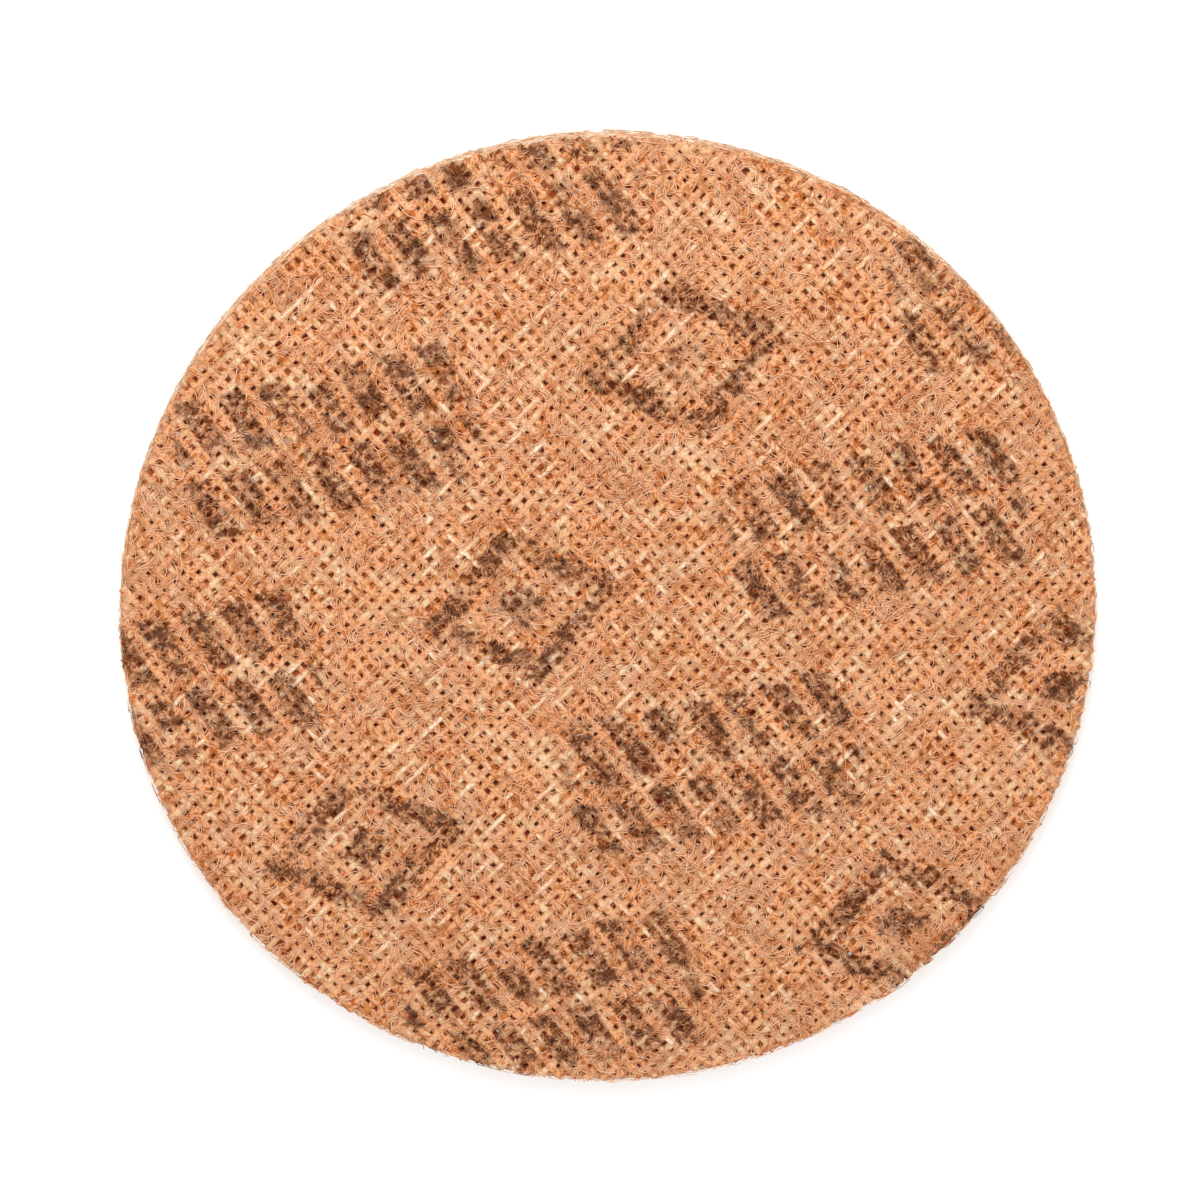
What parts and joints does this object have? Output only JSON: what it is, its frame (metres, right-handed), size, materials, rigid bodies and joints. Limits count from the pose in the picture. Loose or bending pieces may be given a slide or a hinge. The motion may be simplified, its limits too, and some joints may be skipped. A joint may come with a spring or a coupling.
{
  "type": "surface conditioning disc",
  "caption": "Flat round pad of non-woven abrasive web with a woven scrim bonded to its back, for cleaning and blending metal on a hook-faced backing pad.",
  "frame": {"origin": "centre of the abrasive face, which lies on the surface", "axes": "+Z along the disc's turning axis, out of the scrim back; the scrim's threads run near the diagonals of X and Y"},
  "size_m": [0.127, 0.127, 0.005],
  "materials": {
    "abrasive_web": "orange-brown web of crimped nylon fibres bonded with resin and fine abrasive grain, matt with small glossy resin beads",
    "woven_scrim": "cream woven thread under tan needled fibres, tinted by the web's resin, matt, with mottled dark brown print in plain shapes"
  },
  "bodies": {
    "root": {"abrasive_web": "abrasive_web", "woven_scrim": "woven_scrim"}
  },
  "joints": []
}
